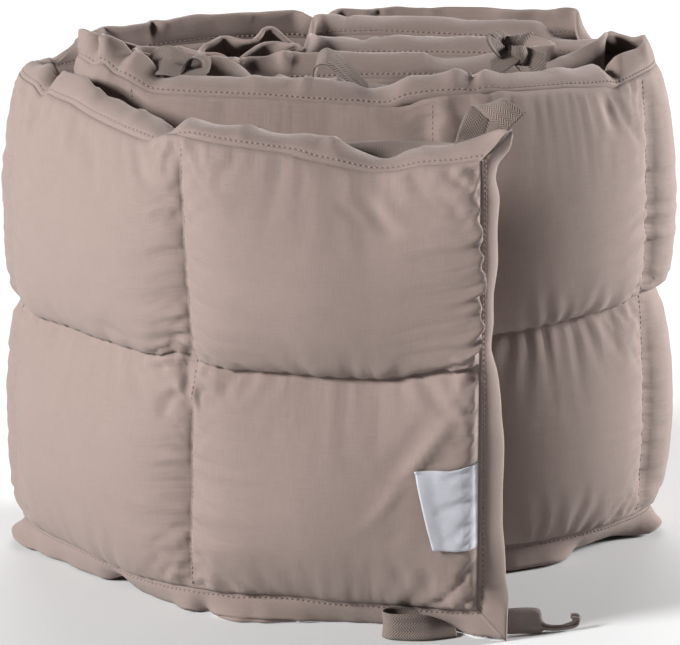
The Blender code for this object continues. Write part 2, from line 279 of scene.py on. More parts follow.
# Folds of the outer cloth in millimetres: from a length and height on the pad to another, how
# far the fold stands out (a furrow is negative) and its half width.
FURROW_COLUMNS = ("place", "s0", "z0", "s1", "z1", "height", "width")
FURROWS = (
    ("under the dip of the flap", 80, 254, 61, 230, -3.6, 3.4),
    ("beside the dip", 71, 258, 57, 234, 2.2, 3.6),
    ("under the dip, second", 91, 250, 82, 238, -1.8, 3),
    ("above the tab, long fold", 84, 52, 27, 118, 2.6, 3.2),
    ("above the tab, furrow over the fold", 76, 76, 40, 118, -1.6, 6),
    ("above the tab, furrow under the fold", 60, 66, 28, 102, -1.6, 7),
    ("above the tab, short fold", 27, 97, 28, 112, 1.6, 2.5),
    ("beside the tab", 66, 44, 57, 60, -1.4, 4),
    ("below the tab", 60, 8, 66, 40, -2.0, 3),
    ("below the tab, second", 46, 6, 48, 30, -2.0, 3),
    ("crossing, dimple", 176, 135, 186, 130, -7.0, 4.5),
    ("crossing, eye", 180, 133, 186, 119, -9.0, 3.0),
    ("crossing, loop", 179, 122, 174, 104, 4.0, 2.8),
    ("crossing, hook", 190, 120, 182, 112, 2.6, 2.6),
    ("crossing, fold from the left", 188, 130, 212, 127, 3.0, 3.2),
    ("crossing, furrow from the left", 188, 124, 214, 123, -2.6, 2.4),
    ("crossing, furrow below", 188, 114, 198, 96, -2.4, 4),
    ("crossing, fold above", 184, 140, 206, 150, -2.4, 4),
    ("left front, above the crease", 214, 142, 248, 152, -1.4, 5),
    ("left front, top", 240, 236, 262, 262, -1.8, 6),
    ("left front, top, second", 268, 240, 282, 262, 1.8, 6),
    ("right front, top", 862, 240, 880, 264, -2.0, 7),
    ("second turn, left, top", 1150, 262, 1172, 238, -3.5, 5),
    ("second turn, left, top, second", 1160, 266, 1188, 250, 3.0, 5),
    ("left corner, under the fold", 306, 264, 312, 240, -2.6, 6),
    ("left corner, beside the fold", 296, 264, 290, 236, 2.0, 7),
    ("behind the flap, fold", 965, 262, 968, 226, -3.0, 6),
    ("behind the flap, second fold", 976, 262, 992, 236, 2.8, 6),
)
FURROW_BOW = 0.12
MOST_BOW = 0.0025
FURROW_REACH = 0.62

# Bindings: the share of its lean that a binding has at its seam and how much more it bends
# towards its edge, and how rough the bindings of the inner turns are at the left and the right.
FLANGE_STEP = 0.0028
END_FLANGE_STEPS = 110
LEAN_AT_SEAM = 0.55
LEAN_BEND = 0.9
RIPPLE_POWER = 1.5
RIPPLE_START = 0.03
TOP_SAG = 0.0008
BOTTOM_LIFT = 0.0003
CORNER_END = 0.014
CORNER_REACH = 0.02
RIDGE_LEAN = 16
RIDGE_POWER = 5
RIDGE_MEAN = 0.2
INNER_START = 1.22
INNER_REACH = 0.05
INNER_CRUMPLE = 2.2
INNER_SMOOTH = 0.85
MITRE_LAP = 0.0003
LEAST_HEIGHT = 0.0017

# a binding's profile, out from 0 at its seam to 1, with a groove where it is stitched
FLANGE_OUT = np.array([-0.25, 0.03, 0.08, 0.12, 0.16, 0.24, 0.40, 0.58, 0.76, 0.90, 0.975, 1.0])
FLANGE_FULL = np.array([0.50, 0.66, 0.62, 0.46, 0.66, 0.9, 1.0, 1.0, 1.05, 1.05, 0.8, 0.3])
STITCH_OUT = 0.12
STITCH_NEAR = 0.03
STITCH_START = 0.016
SEAM_STITCH_DEPTH = 0.0001
STITCH_PITCH = 0.0031
STITCH_LENGTH = 0.0021
STITCH_RADIUS = 0.00042
STITCH_AHEAD = 0.0005
STITCH_RING = 6
# rings along a stitch: place as a share of its length, then radius and lift in radii
STITCH_SHAPE = (
    (-0.5, 0.35, -0.3), (-0.38, 0.9, 0.35), (0.0, 1.0, 0.6), (0.38, 0.9, 0.35),
    (0.5, 0.35, -0.3),
)

# tapes and label
TAPE_WIDTH = 0.015
TAPE_THICKNESS = 0.0010
TAPE_STEPS = 12
TAPE_CUTS = 8
TAPE_CUP = 0.0012
TAPE_CUP_WAVE = 0.012
LABEL_WIDTH = 0.034
LABEL_HEIGHT = 0.045
LABEL_FOOT = 0.050
LABEL_THICKNESS = 0.0008
LABEL_LIFT = 0.0012
LABEL_SLANT = 0.28
LABEL_RISE = 0.006
LABEL_CURL = 0.0015
LABEL_STEPS = 28
LABEL_CUTS = 36


# ---------------------------------------------------------------- curves and noise
def run_lengths(points):
    """Lengths along a line of points, from 0."""
    steps = np.linalg.norm(np.diff(points, axis=0), axis=1)
    return np.concatenate([[0], np.cumsum(steps)])


def unit(vectors):
    return vectors / np.linalg.norm(vectors, axis=-1, keepdims=True)


def with_height(flat, z):
    return np.concatenate([flat, z[..., None]], -1)


def smooth_line(points, steps):
    """A Catmull-Rom curve through the points, with the given steps for each span."""
    padded = np.pad(np.array(points, float), ((1, 1), (0, 0)), "reflect", reflect_type="odd")
    t = (np.arange(steps) / steps)[:, None]
    line = []
    for i in range(len(padded) - 3):
        a, b, c, d = padded[i:i + 4]
        span = 2 * b + (c - a) * t + (2 * a - 5 * b + 4 * c - d) * t**2
        line.append(0.5 * (span + (3 * b - a - 3 * c + d) * t**3))
    return np.vstack([*line, padded[-2:-1]])


def ease(t):
    t = np.clip(t, 0, 1)
    return t * t * (3 - 2 * t)


def wobble(x, wavelength, seed):
    """Smooth noise between -1 and 1 along a length."""
    knots = np.random.default_rng(seed).uniform(-1, 1, WOBBLE_KNOTS)
    knots[-1] = knots[0]
    place = np.asarray(x, float) / wavelength + WOBBLE_START
    low = np.floor(place).astype(int)
    t = ease(place - low)
    knot = low % (WOBBLE_KNOTS - 1)
    return knots[knot] * (1 - t) + knots[knot + 1] * t


def noise(name, x):
    size, wavelength, seed = NOISE[name]
    return size * wobble(x, wavelength, seed)


def gathered(name, along, aside, shift, reach):
    """Small gathers by the length along a seam and the distance from it."""
    slant = aside * noise(name + ", slant", along)
    folds = noise(name, along + slant + shift) * np.exp(-aside / reach)
    return folds * (GATHERS_STRENGTH + noise(name + ", strength", along + shift))


def near(x, middle, reach):
    """1 at the middle, easing to 0 at the given distance from it."""
    return ease(1 - np.abs(np.asarray(x, float) - middle) / reach)


class EdgeLine:
    """A table of numbers along a length, joined by straight lines and then rounded off."""

    STEP = 0.001
    ROUNDING = 9

    def __init__(self, columns, rows, end):
        numbers = np.array(rows, float)
        self.places = np.arange(0, end + self.STEP, self.STEP)
        window = np.hanning(self.ROUNDING + 2)[1:-1]
        self.values = {}
        for column, values in zip(columns[1:], numbers.T[1:]):
            line = np.interp(self.places, numbers[:, 0] * MM, values)
            padded = np.pad(line, self.ROUNDING // 2, mode="edge")
            self.values[column] = np.convolve(padded, window / window.sum(), mode="valid")

    def value(self, column, place):
        return np.interp(place, self.places, self.values[column])


def flange_arc(lean, out):
    """How far a leaning flange has gone up and sideways, out from 0 at its seam to 1."""
    start = np.radians(lean) * LEAN_AT_SEAM
    bend = np.radians(lean) * LEAN_BEND
    bend = np.where(np.abs(bend) < 1e-3, 1e-3, bend)
    beyond = np.maximum(out, 0)
    upward = (np.sin(start + bend * beyond) - np.sin(start)) / bend + np.minimum(out, 0)
    sideways = (np.cos(start) - np.cos(start + bend * beyond)) / bend
    return upward * BINDING_WIDTH, sideways * BINDING_WIDTH


class Route:
    """The pad's middle line in plan, by the length along it from the very end of the flap."""

    SPAN_STEPS = 40

    def __init__(self, rows):
        numbers = np.array([row[1:] for row in rows], float)
        self.plan = smooth_line(numbers[:, :2] * MM, self.SPAN_STEPS)
        self.along = run_lengths(self.plan)
        self.slope = unit(np.gradient(self.plan, self.along, axis=0))
        self.stations = self.along[::self.SPAN_STEPS]
        self.values = dict(zip(ROUTE_COLUMNS[1:], numbers.T))
        self.length = self.along[-1]

    def at(self, s):
        """Places and outward directions at lengths s."""
        place = np.stack([np.interp(s, self.along, self.plan[:, i]) for i in (0, 1)], -1)
        slope = np.stack([np.interp(s, self.along, self.slope[:, i]) for i in (0, 1)], -1)
        slope = unit(slope)
        outward = np.stack([-slope[..., 1], slope[..., 0]], -1)
        return place, outward

    def value(self, column, s):
        """A column of the table, eased between its rows."""
        last = len(self.stations) - 2
        i = np.clip(np.searchsorted(self.stations, s) - 1, 0, last)
        t = ease((s - self.stations[i]) / (self.stations[i + 1] - self.stations[i]))
        numbers = self.values[column]
        return numbers[i] + (numbers[i + 1] - numbers[i]) * t


class Quilt:
    """Puffed squares: how far the cloth lies along, up and out from its flat place."""

    def __init__(self, column_width, row_height):
        self.size = np.array([column_width, row_height]) * PANEL_SCALE
        self.across = PANEL_COLUMNS * PANEL_CELLS + 1
        self.up = SQUARE_ROWS * PANEL_ROW_CELLS + 1
        offsets = self.simulated()
        self.squares = {}
        for side in (0, 1):
            offsets[side] /= np.percentile(offsets[side, :, :, 2], PEAK_PERCENTILE)
            for column in range(PANEL_COLUMNS):
                for row in range(SQUARE_ROWS):
                    left, low = column * PANEL_CELLS, row * PANEL_ROW_CELLS
                    square = offsets[side, left:left + PANEL_CELLS + 1,
                                     low:low + PANEL_ROW_CELLS + 1]
                    # one more line of points on each side, carried straight on
                    self.squares[side, column, row] = np.pad(
                        square, ((1, 1), (1, 1), (0, 0)), "reflect", reflect_type="odd"
                    )

    def flat_grid(self):
        column = np.arange(self.across) / PANEL_CELLS
        row = np.arange(self.up) / PANEL_ROW_CELLS
        return np.meshgrid(column, row, indexing="ij")

    def simulated(self):
        """Blows the flat piece up with its seams held, and reads where the cloth ends up."""
        column, row = self.flat_grid()
        on_seam = (np.arange(self.across) % PANEL_CELLS == 0)[:, None]
        on_seam = on_seam | (np.arange(self.up) % PANEL_ROW_CELLS == 0)[None, :]
        random = np.random.default_rng(PANEL_SEED)
        start = PANEL_START * np.sin(np.pi * (column % 1)) * np.sin(np.pi * (row % 1))
        start = start * self.size[1] + PANEL_ROUGHNESS * random.uniform(-1, 1, start.shape)
        start[on_seam] = 0
        half = SEAM_THICKNESS / 2 * PANEL_SCALE
        x, y = column * self.size[0], row * self.size[1]
        layers = [np.stack([x, y, side * (half + start)], -1) for side in (1, -1)]
        points = np.stack(layers).reshape(-1, 3)
        mesh = bpy.data.meshes.new("quilt_piece")
        mesh.from_pydata(points.tolist(), [], closed_faces(self.across, self.up))
        piece = put("quilt_piece", mesh)
        held = piece.vertex_groups.new(name="seams")
        flat_seams = np.flatnonzero(on_seam.ravel())
        count = self.across * self.up
        held.add(flat_seams.tolist() + (flat_seams + count).tolist(), 1.0, "REPLACE")
        cloth = piece.modifiers.new("puff", "CLOTH")
        for name, value in CLOTH_SETTINGS.items():
            setattr(cloth.settings, name, value)
        cloth.settings.effector_weights.gravity = 0.0
        scene = bpy.context.scene
        scene.frame_start = 1
        scene.frame_end = PANEL_FRAMES
        cloth.point_cache.frame_start = 1
        cloth.point_cache.frame_end = PANEL_FRAMES
        for number in range(1, PANEL_FRAMES + 1):
            scene.frame_set(number)
        graph = bpy.context.evaluated_depsgraph_get()
        puffed = piece.evaluated_get(graph).to_mesh()
        found = read(puffed.vertices, "co", 3).reshape(2, self.across, self.up, 3)
        piece.evaluated_get(graph).to_mesh_clear()
        bpy.data.objects.remove(piece, do_unlink=True)
        bpy.data.meshes.remove(mesh)
        scene.frame_set(1)
        found[1, ..., 2] *= -1
        return found - np.stack([x, y, 0 * x + half], -1)

    def look(self, column, row, side):
        """Offsets at places counted in squares; the rise is 1 at the top of a square."""
        face = 0 if side > 0 else 1
        column, row = np.broadcast_arrays(column, row)
        whole = np.clip(np.floor(column), 0, SQUARE_COLUMNS - 1).astype(int)
        level = np.clip(np.floor(row), 0, SQUARE_ROWS - 1).astype(int)
        found = np.zeros(column.shape + (3,))
        for number in np.unique(whole):
            for height in np.unique(level):
                chosen = (whole == number) & (level == height)
                if not chosen.any():
                    continue
                square = self.squares[face, number % PANEL_COLUMNS, height]
                found[chosen] = cubic_look(
                    square,
                    np.clip(column[chosen] - number, 0, 1) * PANEL_CELLS + 1,
                    np.clip(row[chosen] - height, 0, 1) * PANEL_ROW_CELLS + 1,
                )
        return found


def cubic_weights(t):
    """Catmull-Rom weights of the four points round a place."""
    return np.stack([
        0.5 * (-t + 2 * t**2 - t**3),
        0.5 * (2 - 5 * t**2 + 3 * t**3),
        0.5 * (t + 4 * t**2 - 3 * t**3),
        0.5 * (-t**2 + t**3),
    ])


def cubic_look(grid, x, y):
    i = np.clip(np.floor(x).astype(int), 1, grid.shape[0] - 3)
    j = np.clip(np.floor(y).astype(int), 1, grid.shape[1] - 3)
    across, upward = cubic_weights(x - i), cubic_weights(y - j)
    found = 0
    for a in range(4):
        for b in range(4):
            weight = (across[a] * upward[b])[:, None]
            found = found + grid[i + a - 1, j + b - 1] * weight
    return found


# ---------------------------------------------------------------- meshes
def put(name, data):
    """A new object in the scene."""
    thing = bpy.data.objects.new(name, data)
    bpy.context.scene.collection.objects.link(thing)
    return thing


def read(collection, field, width, kind=float):
    """A field of a mesh's vertices, loops or triangles, a row for each."""
    numbers = np.empty(len(collection) * width, kind)
    collection.foreach_get(field, numbers)
    return numbers.reshape(-1, width)


def closed_faces(rows, columns):
    """Faces of a body between two grids of points; the first grid is its outer face."""
    half = rows * columns
    i, j = np.meshgrid(np.arange(rows - 1), np.arange(columns - 1), indexing="ij")
    low = (i * columns + j).ravel()
    quads = np.stack([low, low + columns, low + columns + 1, low + 1], 1)
    faces = np.vstack([quads, quads[:, ::-1] + half]).tolist()
    rim = [(a, 0) for a in range(rows)]
    rim += [(rows - 1, b) for b in range(1, columns)]
    rim += [(a, columns - 1) for a in range(rows - 2, -1, -1)]
    rim += [(0, b) for b in range(columns - 2, 0, -1)]
    for k, (a, b) in enumerate(rim):
        c, d = rim[(k + 1) % len(rim)]
        p, q = a * columns + b, c * columns + d
        faces.append([p, p + half, q + half, q])
    return faces


def outside_out(mesh):
    """Turns the faces outwards if the closed mesh encloses a negative volume."""
    points = read(mesh.vertices, "co", 3)
    mesh.calc_loop_triangles()
    a, b, c = points[read(mesh.loop_triangles, "vertices", 3, int)].swapaxes(0, 1)
    if np.einsum("ij,ij->i", a, np.cross(b, c)).sum() < 0:
        mesh.flip_normals()


def drawn_in(x):
    """Brings the roll's left and right bends a little closer to its middle."""
    right = RIGHT_PULL * ease((x - PULL_FROM) / PULL_REACH)
    left = LEFT_PULL * ease((-x - PULL_FROM) / PULL_REACH)
    return x - right + left


def add_mesh(name, points, faces, material, uv=None):
    """An object in the row frame from points in the coordinates of the route."""
    points = points - [*FOOTPRINT_MIDDLE, 0]
    points[:, 0] = drawn_in(points[:, 0])
    mesh = bpy.data.meshes.new(name)
    mesh.from_pydata(points.tolist(), [], faces)
    mesh.update()
    if uv is not None:
        layer = mesh.uv_layers.new(name="cloth")
        corners = read(mesh.loops, "vertex_index", 1, int)[:, 0]
        layer.data.foreach_set("uv", uv[corners].ravel())
    outside_out(mesh)
    mesh.shade_smooth()
    mesh.materials.append(material)
    piece = put(name, mesh)
    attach(piece, "root")
    return piece


def tube_grid(sections):
    """Faces of a closed strip whose cross-sections are rings of points, capped at both ends."""
    count, ring = sections.shape[:2]
    i, j = np.meshgrid(np.arange(count - 1), np.arange(ring), indexing="ij")
    low, after = (i * ring + j).ravel(), (i * ring + (j + 1) % ring).ravel()
    faces = np.stack([low, after, after + ring, low + ring], 1).tolist()
    for end in (0, count - 1):
        base = end * ring
        half = ring // 2
        for k in range(half - 1):
            faces.append([base + k, base + k + 1, base + ring - 2 - k, base + ring - 1 - k])
    return faces


# ---------------------------------------------------------------- the pad
class Pad:
    """The filled pad's two faces, by length s along the route and fraction v of its height."""

    def __init__(self, route):
        self.route = route
        self.start = BINDING_WIDTH + PIECE_GAP
        self.end = route.length - BINDING_WIDTH - PIECE_GAP
        self.column_width = (self.end - self.start) / SQUARE_COLUMNS
        self.row_height = PAD_HEIGHT / SQUARE_ROWS
        self.top_line = EdgeLine(EDGE_COLUMNS, TOP_LINE, route.length)
        self.bottom_line = EdgeLine(EDGE_COLUMNS, BOTTOM_LINE, route.length)
        self.crease_line = EdgeLine(CREASE_COLUMNS, CREASE_LINE, route.length)
        self.end_line = EdgeLine(END_COLUMNS, END_LINE, HEIGHT)
        self.pad_end_line = EdgeLine(PAD_END_COLUMNS, PAD_END_LINE, HEIGHT)
        self.quilt = Quilt(self.column_width, self.row_height)

    def bottom(self, s):
        return BINDING_WIDTH + PIECE_GAP + self.bottom_line.value("lift", s) * MM

    def top(self, s):
        drop = self.route.value("drop", s) - self.top_line.value("lift", s)
        return HEIGHT - BINDING_WIDTH - PIECE_GAP - drop * MM

    def seam_shift(self, s, v):
        """How far the cloth is moved along the route where a seam doesn't run quite upright."""
        shift = 0.0
        for row in SEAM_LINES:
            moved = dict(zip(SEAM_COLUMNS, row))
            seam = self.start + moved["number"] * self.column_width
            line = moved["foot"] * (1 - v) * (1 - 2 * v) + moved["crease"] * 4 * v * (1 - v)
            line = line + moved["head"] * v * (2 * v - 1)
            shift = shift + line * MM * near(s, seam, self.column_width)
        return shift

    def overhang(self, column, v):
        """How far the pad's outer end stands out past its seam, with small folds."""
        z = v * PAD_HEIGHT
        reach = self.pad_end_line.value("overhang", z) * MM
        ruffle = noise("end ruffle", z) * np.clip(reach / RUFFLED_OVERHANG, 0.25, 1)
        reach = reach + ruffle * (1 - self.by_label(column, z, CALM_ABOVE))
        inward = (column - OVERHANG_RISE) / OVERHANG_REACH
        return reach * ease(column / OVERHANG_RISE) * (1 - ease(inward))

    def by_label(self, column, z, above=0.0):
        """1 under the tab and up to a height above it, easing to 0 round it."""
        low = LABEL_FOOT - BINDING_WIDTH
        half = (LABEL_HEIGHT + above) / 2
        middle = low + half
        beside = ease((half + LABEL_MARGIN - np.abs(z - middle)) / LABEL_EASE)
        return beside * ease((LABEL_COLUMNS - column) / LABEL_COLUMNS_EASE)

    def points(self, s, v, side, lift=0.0):
        """Points of the outer (side 1) or inner (side -1) face."""
        s, v = np.broadcast_arrays(s, v)
        column = (s - self.start) / self.column_width
        row = v * SQUARE_ROWS
        level = np.clip(np.floor(row), 0, SQUARE_ROWS - 1)
        slump = np.where(level > 0, SLUMP, BOTTOM_SLUMP)
        slumped = level + np.clip(row - level, 0, 1) ** slump
        along, upward, rise = np.moveaxis(self.quilt.look(column, slumped, side), -1, 0)
        middle = np.clip(np.floor(column), 0, SQUARE_COLUMNS - 1) + 0.5
        bridge = self.quilt.look(middle, slumped, side)[..., 2]
        inside = near(column, SQUARE_COLUMNS / 2, SQUARE_COLUMNS / 2) > 0.0001
        share = SEAM_BRIDGE * np.clip(column / 0.5, 0, 1) * inside
        bridge = np.clip(bridge, 0, MOST_RISE)
        full = np.clip(rise, 0, MOST_RISE) ** FULLNESS * (1 - share)
        full = full + share * bridge ** FULLNESS
        full = np.maximum(full, 0) ** (1 - END_FULLNESS * near(column, 0, END_FULLNESS_REACH))
        bulge = self.route.value("outer" if side > 0 else "inner", s) * MM
        if side > 0:
            dome = np.sin(np.pi * np.clip(column, 0, 1)) * np.sin(np.pi * (row - level))
            bulge = bulge + FLAP_DOME * dome
        puff = bulge * full
        past = self.overhang(column, v) * bridge ** 0.5 * (side > 0)
        place, outward = self.route.at(s + self.seam_shift(s, v) + along * bulge - past)
        reach = SEAM_THICKNESS / 2 + puff + lift + self.puckers(s, v, side)
        reach = np.maximum(reach, LEAST_REACH)
        flat = place + outward * (side * reach)[..., None]
        crease = (self.route.value("crease", s) + self.crease_step(s)) * MM * 4 * v * (1 - v)
        z = self.bottom(s) + (self.top(s) - self.bottom(s)) * v
        sag = SAG_PER_SWELL * (FOOT_SAG + (1 - FOOT_SAG) * ease(v / FOOT_SAG_REACH))
        z = z + crease - sag * puff + upward * bulge
        return with_height(flat, z)

    def crease_step(self, s):
        """How the crease between the rows runs; it steps down at the first seam."""
        seam = self.start + self.column_width
        beyond = np.tanh((s - seam) / CREASE_STEP_WIDTH)
        step = CREASE_STEP * beyond * near(s, seam, CREASE_STEP_REACH)
        return step + self.crease_line.value("rise", s)

    def puckers(self, s, v, side):
        """Small gathers that run away from the stitched lines."""
        column = (s - self.start) / self.column_width
        row = v * SQUARE_ROWS
        seam, line = np.round(column), np.round(row)
        aside = np.abs(column - seam) * self.column_width
        above = np.abs(row - line) * self.row_height
        z = v * PAD_HEIGHT
        shift = 3.0 * seam + (40.0 if side > 0 else 90.0)
        by_seam = gathered("seam gathers", z, aside, shift, SEAM_GATHERS_REACH)
        shift = 4.0 * line + (20.0 if side > 0 else 60.0)
        by_line = gathered("line gathers", s, above, shift, LINE_GATHERS_REACH)
        on_crease = CREASE_GATHERS + MORE_CREASE_GATHERS * ease((s - FLAP_END) / FLAP_REACH)
        by_line = by_line * np.where(line == 1, on_crease, 1)
        fade = np.clip(above / LINE_FADE, 0, 1) * np.clip(aside / SEAM_FADE, 0, 1)
        ends = np.clip(column / END_FADE, 0, 1)
        ends = ends * np.clip((SQUARE_COLUMNS - column) / END_FADE, 0, 1)
        small = (by_seam + by_line) * (AT_SEAM + (1 - AT_SEAM) * fade)
        small = small * ends * (1 - LABEL_CALM * self.by_label(column, z, CALM_ABOVE))
        return small + self.furrows(s, z) * (side > 0) * (1 - self.by_label(column, z))

    def furrows(self, s, z):
        """Single folds of the outer cloth, each between two places."""
        depth = 0.0
        for row in FURROWS:
            fold = {name: number * MM for name, number in zip(FURROW_COLUMNS[1:], row[1:])}
            run = np.array([fold["s1"] - fold["s0"], fold["z1"] - fold["z0"]])
            length = np.linalg.norm(run)
            past, above = s - fold["s0"], z - fold["z0"]
            along = (past * run[0] + above * run[1]) / length**2
            aside = (past * run[1] - above * run[0]) / length
            aside = aside + min(FURROW_BOW * length, MOST_BOW) * np.sin(3 * along)
            shape = np.exp(-(aside / fold["width"]) ** 2) * near(along, 0.5, FURROW_REACH)
            depth = depth + fold["height"] * shape
        return depth


def make_pad(pad, material):
    along = [pad.start]
    for column in range(SQUARE_COLUMNS):
        steps = OUTER_STEPS if column in OUTER_COLUMNS else PLAIN_STEPS
        steps = FINE_STEPS if column in FINE_COLUMNS else steps
        share = np.arange(1, steps + 1) / steps
        if column in CROWDED_COLUMNS:
            share = share + CROWDING * ((1 - np.cos(np.pi * share)) / 2 - share)
        along += list(pad.start + (column + share) * pad.column_width)
    up = np.arange(SQUARE_ROWS * ROW_STEPS + 1) / (SQUARE_ROWS * ROW_STEPS)
    s, v = np.meshgrid(np.array(along), up, indexing="ij")
    layers = [pad.points(s, v, side).reshape(-1, 3) for side in (1, -1)]
    uv = np.stack([s.ravel(), (v * PAD_HEIGHT).ravel()], 1)
    return add_mesh(
        "quilt", np.vstack(layers), closed_faces(len(along), len(up)), material,
        np.vstack([uv, uv + [0.3, 0.1]]),
    )


# ---------------------------------------------------------------- bindings
def strip(name, middle, thickness, along, across, material):
    """A closed thin strip through a grid of middle points (along, across)."""
    half = grid_normals(middle) * (thickness / 2)[:, None]
    # a ring goes up one face, round the edge and down the other
    rings = np.concatenate([middle + half, (middle - half)[:, ::-1]], 1)
    there = np.concatenate([across, 2 * across[-1] - across[::-1]])
    uv = np.stack(np.meshgrid(along, there, indexing="ij"), -1).reshape(-1, 2)
    return add_mesh(name, rings.reshape(-1, 3), tube_grid(rings), material, uv)


def grid_normals(points):
    """Unit normals of a grid of points."""
    return unit(np.cross(np.gradient(points, axis=0), np.gradient(points, axis=1)))


def top_flange(pad, s, out):
    """Middle points of the top binding: s along the route, out from 0 at its seam to 1."""
    s, out = np.broadcast_arrays(s, out)
    rest = np.maximum(out, 0) ** RIPPLE_POWER
    place, outward = pad.route.at(s + rest * noise("top, along", s))
    inner = ease((s - INNER_START) / INNER_REACH)
    leftward = ease(-place[..., 0] / INNER_REACH)
    rough = INNER_SMOOTH + (INNER_CRUMPLE - INNER_SMOOTH) * leftward
    free = ease((s - CORNER_END) / CORNER_REACH) * (1 + (rough - 1) * inner)
    # now and then a narrow ridge
    ridges = (1 - np.abs(noise("top, ridges", s))) ** RIDGE_POWER
    lean = noise("top, lean", s) + RIDGE_LEAN * (ridges - RIDGE_MEAN)
    upward, sideways = flange_arc(pad.top_line.value("lean", s) + lean * free, out)
    ripple = (noise("top, ripple", s) + noise("top, small ripple", s)) * rest
    flat = place + outward * (sideways + ripple * free)[..., None]
    sag = (TOP_SAG + noise("top, sag", s)) * rest * free
    z = pad.top(s) + PIECE_GAP + upward - sag
    return with_height(flat, z)


def bottom_flange(pad, s, out):
    """Middle points of the bottom binding, which stays above the floor."""
    s, out = np.broadcast_arrays(s, out)
    rest = np.maximum(out, 0) ** RIPPLE_POWER
    free = ease((s - CORNER_END) / CORNER_REACH)
    lean = pad.bottom_line.value("lean", s) + noise("bottom, lean", s) * free
    upward, sideways = flange_arc(lean, out)
    ripple = (noise("bottom, ripple", s) + noise("bottom, small ripple", s)) * rest
    place, outward = pad.route.at(s)
    flat = place + outward * (sideways + ripple * ease(s / RIPPLE_START))[..., None]
    lift = (BOTTOM_LIFT + noise("bottom, lift", s)) * rest
    z = pad.bottom(s) - PIECE_GAP - upward + lift
    return with_height(flat, np.maximum(z, LEAST_HEIGHT))


def binding(name, middle, along, material):
    """A binding's strip round a grid of its middle points."""
    return strip(
        name, middle, FLANGE_FULL * BINDING_THICKNESS, along, FLANGE_OUT * BINDING_WIDTH, material
    )


def binding_along(name, pad, surface, material):
    length = pad.route.length
    fraction = np.linspace(0, 1, int(length / FLANGE_STEP))[:, None]
    mitre = BINDING_WIDTH * (1 - FLANGE_OUT) - MITRE_LAP
    s = mitre + (length - 2 * mitre) * fraction
    middle = surface(pad, s, FLANGE_OUT[None, :])
    return binding(name, middle, fraction[:, 0] * length, material)


def end_flange(pad, fraction, out, outer_end):
    """Middle points of an end's binding: fraction of its height, out from its seam to 1."""
    route = pad.route
    fraction, out = np.broadcast_arrays(fraction, out)
    seam = BINDING_WIDTH if outer_end else route.length - BINDING_WIDTH
    edge = 0.0 if outer_end else route.length
    mitre = BINDING_WIDTH * (1 - out) - MITRE_LAP
    corner = pad.top(np.full(out.shape, seam)) * (1 - out) + pad.top(0 * out + edge) * out
    high = corner + PIECE_GAP + BINDING_WIDTH - mitre
    z = mitre + (high - mitre) * fraction
    lean = pad.end_line.value("lean", z) if outer_end else noise("inner end, lean", z)
    lean = lean + noise("end, lean", z) * np.sin(np.pi * fraction)
    onward, sideways = flange_arc(lean, out)
    place, outward = route.at(np.full(out.shape, seam))
    end_way = np.stack([-outward[..., 1], outward[..., 0]], -1)
    if not outer_end:
        end_way = -end_way
    ripple = noise("end, ripple", z) * out * np.sin(np.pi * fraction)
    flat = place + end_way * onward[..., None] + outward * (sideways + ripple)[..., None]
    return with_height(flat, z)


def binding_end(name, pad, outer_end, material):
    fraction = np.linspace(0, 1, END_FLANGE_STEPS)[:, None]
    middle = end_flange(pad, fraction, FLANGE_OUT[None, :], outer_end)
    along = middle[:, len(FLANGE_OUT) // 2, 2]
    return binding(name, middle, along, material)


# ---------------------------------------------------------------- stitches
def stitch_line(points, normals):
    """Short thread stitches laid end to end along a line on the cloth."""
    along = run_lengths(points)
    count = max(1, int(along[-1] / STITCH_PITCH))
    ring = STITCH_RING

    def look_up(numbers, place):
        return np.array([np.interp(place, along, numbers[:, k]) for k in range(3)])

    vertices, faces = [], []
    for middle in (np.arange(count) + 0.5) * along[-1] / count:
        here = look_up(points, middle)
        run = unit(look_up(points, middle + STITCH_AHEAD) - look_up(points, middle - STITCH_AHEAD))
        up = look_up(normals, middle)
        up = unit(up - run * up.dot(run))
        side = np.cross(run, up)
        base = len(vertices)
        for place, radius, lift in STITCH_SHAPE:
            centre = here + run * place * STITCH_LENGTH + up * lift * STITCH_RADIUS
            for k in range(ring):
                turn = 2 * math.pi * k / ring
                round_it = up * math.cos(turn) + side * math.sin(turn)
                vertices.append(centre + round_it * radius * STITCH_RADIUS)
        for a in range(len(STITCH_SHAPE) - 1):
            for k in range(ring):
                low, after = base + a * ring + k, base + a * ring + (k + 1) % ring
                faces.append([low, after, after + ring, low + ring])
        faces.append([base + k for k in range(ring)][::-1])
        faces.append([base + (len(STITCH_SHAPE) - 1) * ring + k for k in range(ring)])
    return np.array(vertices), faces


def add_stitches(name, lines, material):
    vertices, faces = [], []
    for points, normals in lines:
        more, new = stitch_line(points, normals)
        count = sum(len(v) for v in vertices)
        vertices.append(more)
        faces += [[index + count for index in face] for face in new]
    return add_mesh(name, np.vstack(vertices), faces, material)


def stitch_lines_on(grid):
    """Lines on both faces of a binding, over the middle of three lines of points."""
    normal = grid_normals(grid)[:, 1]
    thick = np.interp(STITCH_OUT, FLANGE_OUT, FLANGE_FULL) * BINDING_THICKNESS / 2
    return [(grid[:, 1] + normal * side * thick, normal * side) for side in (1, -1)]


def edge_stitch_lines(pad):
    """The stitched lines of the four bindings."""
    wide = np.array([[STITCH_OUT - STITCH_NEAR, STITCH_OUT, STITCH_OUT + STITCH_NEAR]])
    s = np.linspace(STITCH_START, pad.route.length - STITCH_START, 1400)[:, None]
    fraction = np.linspace(0.005, 0.995, 200)[:, None]
    grids = [surface(pad, s, wide) for surface in (top_flange, bottom_flange)]
    grids += [end_flange(pad, fraction, wide, outer_end) for outer_end in (True, False)]
    return [line for grid in grids for line in stitch_lines_on(grid)]


